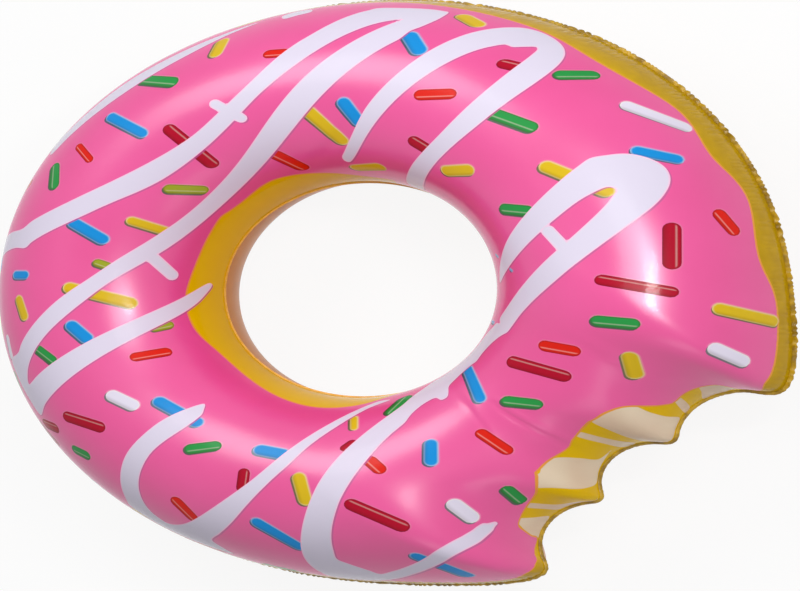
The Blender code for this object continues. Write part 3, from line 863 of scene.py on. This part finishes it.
plain_upper = upper_points.copy()
no_streak = 9.0
crimson_streak, streak_place = -0.45, 0.35
sprinkle_reach = 0.045
sprinkle_depth, sprinkle_shade, sprinkle_across, sprinkle_streak = [
    np.full(len(plain_upper), value) for value in (no_ink, no_ink, 0.0, no_streak)]
sprinkle_ink = np.tile(np.array(white), (len(plain_upper), 1))
strokes = [(colour, *seen_stroke(*row)) for colour, rows in seen_sprinkles.items() for row in rows]
strokes += [(colour, *hidden_stroke(half, *row))
            for half, rows in hidden_sprinkles.items() for colour, *row in rows]
for colour, line, half in strokes:
    corners = np.array([tuple(place) for place in line])
    near = np.flatnonzero(np.all((plain_upper > corners.min(0) - sprinkle_reach)
                                 & (plain_upper < corners.max(0) + sprinkle_reach), axis=1))
    depth, across = stroke_depth(line, half, plain_upper[near])
    if colour not in (crimson, red):
        shade, _ = stroke_depth(line, half, plain_upper[near] - np.array(sprinkle_shade_shift))
        sprinkle_shade[near] = np.maximum(sprinkle_shade[near], shade)
    won = depth > sprinkle_depth[near]
    chosen = near[won]
    sprinkle_depth[chosen], sprinkle_across[chosen] = depth[won], across[won]
    plain = colour in (blue, yellow, white)
    streak_at = crimson_streak if colour == crimson else streak_place
    sprinkle_streak[chosen] = no_streak if plain else across[won] - streak_at
    sprinkle_ink[chosen] = colour
for row in crossing_sprinkles:
    line, half = seen_stroke(*row)
    shifted = plain_upper - np.array((*drizzle_shade_shift, 0))
    drizzle_depth = np.maximum(drizzle_depth, stroke_depth(line, half, plain_upper)[0])
    drizzle_shade = np.maximum(drizzle_shade, stroke_depth(line, half, shifted)[0])


def lay_print(piece, name, values, kind="FLOAT"):
    """Store one layer of the print on the mesh."""
    layer = piece.data.attributes.new(name, kind, "POINT")
    field = "value" if kind == "FLOAT" else "color"
    layer.data.foreach_set(field, np.asarray(values, np.float32).ravel())


rim_shade_reach, brown_line = 0.034, (-0.0042, -0.0030)
halo_band, halo_side = (-0.0032, -0.0008), (0.5, -0.3)
edge_band, streak_band, drizzle_rim = (0.0034, 0.0004), (0.0014, 0.0052), (0.0012, 0.0032)
icing = Finish(bpy.data.materials.new("frosting_print"))
cloud = icing.noise(7, 2)
icing_depth_read = icing.from_mesh("icing_depth")
gold = icing.mix(cloud, ink(226, 180, 0), ink(239, 196, 0))
# Painted shade: the gold darkens unevenly over the last few centimetres before the outer weld.
painted_rim_shade = (icing.step(icing.from_mesh("rim_gap"), rim_shade_reach, 0.0)
            * (icing.noise(45, 2) * 0.4 + 0.35))
gold = icing.mix(painted_rim_shade, gold, ink(160, 118, 0))
crumb = icing.mix(icing.step(icing.noise(11, 1), 0.3, 0.7), ink(229, 201, 173), ink(239, 220, 192))
gold = icing.mix(icing.ink_edge(icing.from_mesh("crumb_depth")), gold, crumb)
gold = icing.mix(icing.step(icing_depth_read, *brown_line), gold, ink(240, 160, 68))
pink = icing.mix(cloud, ink(231, 64, 142), ink(242, 79, 158))
icing_laid = icing.ink_edge(icing_depth_read)
face = icing.mix(icing_laid, gold, pink)

sprinkle_read = icing.from_mesh("sprinkle_depth")
across_read = icing.from_mesh("sprinkle_across")
body_ink = icing.from_mesh("sprinkle_ink", 0)
halo = icing.step(sprinkle_read, *halo_band) * icing.step(across_read, *halo_side)
face = icing.mix(halo * 0.32, face, icing.mix(0.45, body_ink, ink(255, 200, 210)))
shade_ink = icing.mix(0.88, body_ink, ink(6, 0, 4))
face = icing.mix(icing.ink_edge(icing.from_mesh("sprinkle_shade"), 0.0008), face, shade_ink)
streak_read = icing.from_mesh("sprinkle_streak").size()
plain_body = icing.step(streak_read, 4, 5)
deep_ink = icing.mix(0.62, body_ink, ink(60, 0, 14))
edge_ink = icing.mix(plain_body, deep_ink, icing.mix(0.55, body_ink, ink(255, 250, 230)))
body = icing.mix(icing.step(sprinkle_read, *edge_band) * 0.6, body_ink, edge_ink)
body = icing.mix(icing.step(across_read, 0.2, 1.0) * 0.5, body, deep_ink)
streak = icing.step(streak_read, 0.2, 0.0) * icing.step(sprinkle_read, *streak_band)
body = icing.mix(streak * 0.5, body, icing.mix(0.55, body_ink, ink(255, 236, 226)))
sprinkle_laid = icing.ink_edge(sprinkle_read, 0.0005)
face = icing.mix(sprinkle_laid, face, body)

drizzle_read = icing.from_mesh("drizzle_depth")
drizzle_edge = icing.ink_edge(icing.from_mesh("drizzle_shade"))
face = icing.mix(drizzle_edge * 0.8, face, ink(190, 78, 142))
drizzle = icing.mix(icing.step(drizzle_read, *drizzle_rim), ink(250, 208, 234), ink(228, 220, 239))
drizzle_laid = icing.ink_edge(drizzle_read)
face = icing.mix(drizzle_laid, face, drizzle)

varnish = (icing_laid * 0.94 + 0.03) * (1 - sprinkle_laid.either(drizzle_laid) * 0.88)
facing_away = icing.node("ShaderNodeLayerWeight", None, {"Blend": 0.5}, 1)
icing.surface(Base_Color=face, Roughness=cloud * 0.03 + 0.06, Specular_IOR_Level=0.06,
              Coat_Weight=varnish * (1 - facing_away * facing_away), Coat_Roughness=0.3,
              Coat_IOR=1.75, Normal=icing.bump(icing.noise(70, 4, 0.6), 0.0005, 0.5))
upper_film = make_piece("upper_film", upper_points, upper_faces, icing.owner)
rim_gap = flared_rim(*plain_upper.T[:2]) - np.hypot(*plain_upper.T[:2])
for layer, values in {
        "rim_gap": rim_gap, "icing_depth": icing_depth, "crumb_depth": crumb_depth,
        "sprinkle_depth": sprinkle_depth, "sprinkle_shade": sprinkle_shade,
        "sprinkle_across": sprinkle_across, "sprinkle_streak": sprinkle_streak,
        "drizzle_depth": drizzle_depth, "drizzle_shade": drizzle_shade}.items():
    lay_print(upper_film, layer, values)
lay_print(upper_film, "sprinkle_ink", sprinkle_ink, "FLOAT_COLOR")
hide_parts("top_film")
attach(upper_film, "ring")


# Outer weld
# Both films fused into one pressed strip along the outline and round the bite. The air pulls the
# rim inwards when the ring swells, so the strip puckers all along.
def strip_piece(name, rows, material):
    """A closed band from rows of points: the first rows run over its top, the last ones under."""
    count = len(rows[0])
    faces = []
    for row in range(len(rows)):
        faces += band_faces(row * count, (row + 1) % len(rows) * count, count)
    return make_piece(name, np.vstack(rows), faces, material)


def pressed_grain(finish):
    """The fine grain that the welding tool leaves."""
    return finish.node("ShaderNodeTexVoronoi", None, {
        "Vector": finish.node("ShaderNodeNewGeometry"), "Scale": 900})


weld_width, weld_thickness = 0.006, 0.0008
ruffle_reach, ruffle_height, bend_run = 0.0022, 0.0030, 0.003
droop_start, droop_span, bite_droop, bite_ease = 0.72, 0.2, 0.8, 0.05
weld_bearings = even_turns(upper_columns * upper_splits)
weld_rims = rim_for(weld_bearings)
weld_out = -way_in(weld_rims)
weld_wave, weld_strength = pucker_wave(weld_bearings)
weld_swing = np.roll(weld_wave, 2) - np.roll(weld_wave, -2)
weld_offsets = (-0.0015, 0.0004, 0.0014, 0.0026, 0.0038, 0.0050, weld_width)
droop_least, droop_most = math.radians(8), math.radians(72)
weld_droop = droop_least + (droop_most - droop_least) * np.maximum(
    eased_step((np.abs(np.sin(weld_bearings)) - droop_start) / droop_span),
    bite_droop * eased_step((bite_reach - turned_from(weld_bearings, bite_bearing)) / bite_ease))
weld_reach, weld_sink = np.full(len(weld_rims), weld_offsets[0]), np.zeros(len(weld_rims))
weld_top, weld_under = [], []
for before, offset in zip(weld_offsets[:1] + weld_offsets, weld_offsets):
    share = max(offset, 0) / weld_width
    bent = weld_droop * eased_step((before + offset) / 2 / bend_run)
    weld_reach = weld_reach + (offset - before) * np.cos(bent)
    weld_sink = weld_sink + (offset - before) * np.sin(bent)
    ruffle = share * ruffle_reach * (weld_wave - 0.55) * weld_strength
    rolled = pucker_depth * pucker_outwards * (weld_wave - pucker_middle) * weld_strength
    lift = share * weld_strength * ruffle_height * (weld_swing * 0.8 + weld_wave - pucker_middle)
    half = weld_thickness / 2 * (0.9 - 0.45 * share)
    for rows, face_side in ((weld_top, 1), (weld_under, -1)):
        out = weld_reach + ruffle + rolled + face_side * half * np.sin(bent)
        height = seam_height + lift - weld_sink + face_side * half * np.cos(bent)
        rows.append(np.column_stack([weld_rims + weld_out * out[:, None], height]))
weld_rows = weld_top + weld_under[::-1]
pressed_pvc = Finish(bpy.data.materials.new("welded_edge"))
weld_cloud = pressed_pvc.noise(60, 3)
# Partly painted shade: the strip is a darker olive than the films it is fused from, as the lip
# looks in shade; the mottling is its own.
weld_colour_and_shade = pressed_pvc.mix(pressed_pvc.step(weld_cloud, 0.35, 0.65), ink(150, 116, 18),
                              ink(206, 166, 34))
pressed_pvc.surface(Base_Color=weld_colour_and_shade, Roughness=weld_cloud * 0.2 + 0.2,
                    Specular_IOR_Level=0.45,
                    Normal=pressed_pvc.bump(pressed_grain(pressed_pvc), 0.0003, 0.6))
outer_weld = strip_piece("puckered_rim", weld_rows, pressed_pvc.owner)
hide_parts("outer_weld")
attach(outer_weld, "ring")


# Inner weld
# The same pressed strip round the hole. Here the air pulls the seam tight, so it is a thin taut
# line that catches the light, and its pale colour is a painted highlight.
hole_weld_width = 0.003
hole_ribs, hole_waver_height = 1080, 0.0003
hole_bearings = even_turns(hole_ribs)
hole_way = np.column_stack([np.cos(hole_bearings), np.sin(hole_bearings)])
hole_waver = hole_waver_height * np.sin(61 * hole_bearings + 2 * np.sin(13 * hole_bearings))
hole_rows = []
for face_side in (1, -1):
    for offset in (-0.0012, 0.0004, 0.0016, 0.0026, hole_weld_width)[::face_side]:
        half = weld_thickness / 2 * (0.95 - 0.5 * max(offset, 0) / hole_weld_width)
        height = seam_height + hole_waver * max(offset, 0) / hole_weld_width + face_side * half
        hole_rows.append(np.column_stack([hole_way * (hole_radius - offset), height]))
taut_pvc = Finish(bpy.data.materials.new("taut_welded_edge"))
taut_cloud = taut_pvc.noise(80, 3)
# Painted highlight: a paler, whiter gold than either film, where the taut seam catches the light.
taut_colour_and_highlight = taut_pvc.mix(taut_cloud, ink(226, 168, 62), ink(240, 188, 88))
taut_pvc.surface(Base_Color=taut_colour_and_highlight, Roughness=taut_cloud * 0.15 + 0.2, Specular_IOR_Level=0.5,
                 Normal=taut_pvc.bump(pressed_grain(taut_pvc), 0.0002, 0.5))
inner_weld = strip_piece("hole_rim", hole_rows[::-1], taut_pvc.owner)
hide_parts("inner_weld")
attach(inner_weld, "ring")


# Valve flange
# The flat disc of the soft moulded valve, heat-welded on the lower film behind the float, with
# the rings that the welding tool presses into it.
touch_gap = 0.0003
flange_bore, flange_thickness = 0.0105, 0.0012
flange_top = touch_gap + flange_thickness
corner_shares, corner_limit = (0, 0.33, 0.67, 1), 0.45


def eased(outline, radius):
    """Round the corners of a closed outline of (radius, height) points, but not on the axis."""
    points = [np.array(point) for point in outline]
    smooth = []
    for before, corner, after in zip(points[-1:] + points[:-1], points, points[1:] + points[:1]):
        if corner[0] < 1e-6:
            smooth.append(corner)
            continue
        come, leave = before - corner, after - corner
        first = corner + come * min(radius / np.linalg.norm(come), corner_limit)
        last = corner + leave * min(radius / np.linalg.norm(leave), corner_limit)
        for share in corner_shares:
            smooth.append((1 - share) ** 2 * first + 2 * share * (1 - share) * corner
                          + share ** 2 * last)
    return smooth


def turned(outline, steps=72):
    """Points and faces of a closed outline turned round the valve's axis."""
    outline = np.array(outline)
    following = np.roll(outline, -1, axis=0)
    if np.sum(outline[:, 0] * following[:, 1] - following[:, 0] * outline[:, 1]) < 0:
        outline = outline[::-1]
    points, rings = [], []
    for radius, height in outline:
        around = [0] if radius < 1e-6 else even_turns(steps)
        rings.append(list(range(len(points), len(points) + len(around))))
        points += [(radius * math.cos(turn), radius * math.sin(turn), height) for turn in around]
    faces = []
    for ring, after in zip(rings, rings[1:] + rings[:1]):
        if len(ring) == len(after) == 1:
            continue
        for step in range(steps):
            corners = [side[turn % len(side)] for side, turn in (
                (ring, step), (ring, step + 1), (after, step + 1), (after, step))]
            faces.append(tuple(dict.fromkeys(corners)))
    return np.array(points), faces


def valve_piece(name, points, faces, material):
    """A piece of the valve, from points on the valve's own axes."""
    return make_piece(name, valve_middle + np.asarray(points) @ valve_axes, faces, material)


milky = Finish(bpy.data.materials.new("milky_pvc"))
milky_cloud = milky.noise(220, 3)
milky.surface(Base_Color=milky.mix(milky_cloud, ink(214, 215, 208), ink(232, 232, 226)),
              Roughness=milky_cloud * 0.16 + 0.26, Specular_IOR_Level=0.4,
              Subsurface_Weight=0.15, Subsurface_Radius=(0.004, 0.004, 0.003), Subsurface_Scale=0.5,
              Normal=milky.bump(milky.noise(1800, 2), 0.0001, 0.4))
press_depth, press_slope, press_width = 0.00022, 0.0003, 0.0014
flange_shoulder, flange_drop = 0.0200, 0.0006
pressed_rings = []
for start in (0.0152, 0.0176):
    pressed_rings += [(start, flange_top), (start + press_slope, flange_top - press_depth),
                      (start + press_width - press_slope, flange_top - press_depth),
                      (start + press_width, flange_top)]
flange_outline = eased([(flange_bore, flange_top), *pressed_rings, (flange_shoulder, flange_top),
                        (flange_radius, flange_top - flange_drop), (flange_radius, touch_gap),
                        (flange_bore, touch_gap)], 0.0003)
flange = valve_piece("valve_disc", *turned(flange_outline), milky.owner)
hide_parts("valve_flange")
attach(flange, "ring")


# Valve dish
# The thin soft skirt between disc and stem, moulded in one with them. On the real valve it rolls
# through when the stem is pulled out to blow the float up; this one is built at rest and stays so.
dish_thickness = 0.0009
dish_rim = flange_bore + 0.0002
dish_neck, dish_foot = 0.0068, -0.0087
dish_steps = 15
dish_run_in = dish_rim - dish_neck - dish_thickness
dish_middle = []
for share in np.linspace(0, 1, dish_steps):
    sunk = flange_top - dish_thickness / 2 + (dish_foot - flange_top + dish_thickness) * share
    inward = share ** 1.6 * (3 - 2 * share ** 1.6) * share ** 0.2
    dish_middle.append((dish_rim - dish_thickness / 2 - dish_run_in * min(inward, 1), sunk))
dish_middle = np.array(dish_middle)
dish_run = np.gradient(dish_middle, axis=0)
dish_normal = np.column_stack([-dish_run[:, 1], dish_run[:, 0]])
dish_normal /= np.linalg.norm(dish_normal, axis=1)[:, None]
dish_side = dish_normal * dish_thickness / 2 * 0.9
dish_outline = np.vstack([dish_middle + dish_side, (dish_middle - dish_side)[::-1]])
dish = valve_piece("valve_skirt", *turned(dish_outline), milky.owner)
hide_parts("valve_dish")
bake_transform(dish)


# Valve stem
# The soft tube that takes the pump nozzle or the stopper, with a foot inside the float and a
# rolled lip outside. It slides in and out with the skirt.
stem_radius, stem_bore, stem_proud = 0.0065, 0.0047, 0.005
stem_foot_top, stem_foot_radius, stem_foot_thickness = -0.009, 0.0085, 0.0012
lip_height, lip_step, lip_edge = 0.0012, 0.0003, 0.0004
stem_foot_low = stem_foot_top - stem_foot_thickness
stem_outline = eased([(stem_bore, stem_proud), (stem_radius, stem_proud),
                      (stem_radius, stem_proud - lip_height),
                      (stem_radius - lip_step, stem_proud - lip_height - lip_edge),
                      (stem_radius - lip_step, stem_foot_top), (stem_foot_radius, stem_foot_top),
                      (stem_foot_radius, stem_foot_low), (stem_bore, stem_foot_low)], 0.0004)
stem = valve_piece("valve_tube", *turned(stem_outline), milky.owner)
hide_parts("valve_stem")
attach(stem, "stem")


# Check flap
# A thin leaf hung inside the float on one edge of the stem's foot. Air pushed in opens it, and
# the pressure inside closes it.
flap_radius, flap_thickness = 0.0058, 0.0006
boss_foot, boss_radius, boss_height = 0.0030, 0.0026, 0.0002
flap_top = stem_foot_low - touch_gap
flap_low = flap_top - flap_thickness
flap_outline = eased([(0, flap_top), (flap_radius, flap_top), (flap_radius, flap_low),
                      (boss_foot, flap_low), (boss_radius, flap_low - boss_height),
                      (0, flap_low - boss_height)], 0.0002)
flap = valve_piece("air_leaf", *turned(flap_outline), milky.owner)
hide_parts("check_flap")
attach(flap, "flap")


# Stopper
# A tapered nose that jams in the stem, under a round head with a finger tab ribbed for grip. It
# is moulded in one with the strap that keeps it.
plug_seat, head_radius, head_thickness = stem_proud + touch_gap, 0.008, 0.0022
head_top = plug_seat + head_thickness
hollow_depth, hollow_radius, hollow_rim = 0.0003, 0.0048, 0.0054
nose_length, nose_root, nose_groove, nose_bulge, nose_tip = 0.006, 0.0044, 0.0041, 0.0043, 0.0034
plug_outline = eased([(0, head_top - hollow_depth), (hollow_radius, head_top - hollow_depth),
                      (hollow_rim, head_top), (head_radius - 0.0003, head_top),
                      (head_radius, head_top - 0.0006), (head_radius, plug_seat),
                      (nose_root, plug_seat), (nose_root, plug_seat - 0.0010),
                      (nose_groove, plug_seat - 0.0012), (nose_bulge, plug_seat - 0.0022),
                      (nose_tip, plug_seat - nose_length), (0, plug_seat - nose_length)], 0.0003)
plug_points, plug_faces = turned(plug_outline)
tab_start, tab_end, tab_width, tab_thickness = 0.0068, 0.013, 0.006, 0.0013
tab_level = (plug_seat + head_top) / 2
tab_stations, tab_points, tab_taper = 25, 20, 0.0004
ribs_start, rib_pitch, rib_height = 0.0088, 0.0011, 0.00016


def flat_section(half_width, half_height, count):
    """The outline of a flat band with rounded edges: offsets across it and through it."""
    turn = even_turns(count)
    return [np.sign(swing) * np.abs(swing) ** 0.5 * half
            for swing, half in ((np.cos(turn), half_width), (np.sin(turn), half_height))]


def band_mesh(rows, first=0):
    """Faces of a solid band from rows of points round it, numbered on from the first."""
    around, ends = len(rows[0]), first + (len(rows) - 1) * len(rows[0])
    faces = []
    for here in range(first, ends, around):
        faces += band_faces(here, here + around, around)
    return faces + [tuple(range(first, first + around)),
                    tuple(range(ends, ends + around))[::-1]]


tab_rows = []
for along in np.linspace(tab_end, tab_start, tab_stations):
    left_over = max(along - (tab_end - tab_width / 2), 0)
    half_width = math.sqrt(max((tab_width / 2) ** 2 - left_over ** 2, tab_taper ** 2))
    rib = rib_height * max(math.sin((along - ribs_start) * 2 * math.pi / rib_pitch), 0)
    half_height = (tab_thickness / 2 * min(1, 0.35 + half_width / 0.0016)
                   + rib * (along > ribs_start))
    wide, tall = flat_section(half_width, half_height, tab_points)
    tab_rows.append(np.column_stack([np.full(tab_points, along), wide, tab_level + tall]))
plug_faces += band_mesh(tab_rows, len(plug_points))
plug_points = np.vstack([plug_points, *tab_rows])
stopper = valve_piece("stopper", plug_points, plug_faces, milky.owner)
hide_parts("valve_plug")
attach(stopper, "plug")


# Stopper strap
# A soft flat band that arches from the side of the stem to the edge of the stopper's head, so
# that the stopper is never lost. The real strap bends when the stopper swings open; this one is
# built as it lies with the stopper shut.
strap_width, strap_thickness, strap_reach = 0.005, 0.0011, 0.0045
strap_low = stem_proud - 2 * strap_thickness
strap_bend = (tab_level - strap_low) / 2
strap_turn = np.array([-(head_radius + strap_reach - strap_bend), (tab_level + strap_low) / 2])
strap_steps, strap_points = 13, 16
strap_line = [(-(stem_radius + touch_gap), strap_low)]
for turn in np.linspace(0, math.pi, strap_steps):
    strap_line.append(tuple(strap_turn - strap_bend * np.array([math.sin(turn), math.cos(turn)])))
strap_line = np.array(strap_line + [(-(head_radius + touch_gap), tab_level)])
strap_run = np.gradient(strap_line, axis=0)
strap_run /= np.linalg.norm(strap_run, axis=1)[:, None]
wide, tall = flat_section(strap_width / 2, strap_thickness / 2, strap_points)
strap_rows = [np.column_stack([x - run_z * tall, wide, z + run_x * tall])
              for (x, z), (run_x, run_z) in zip(strap_line, strap_run)]
strap = valve_piece("stopper_strap", np.vstack(strap_rows), band_mesh(strap_rows), milky.owner)
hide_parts("plug_strap")
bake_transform(strap)
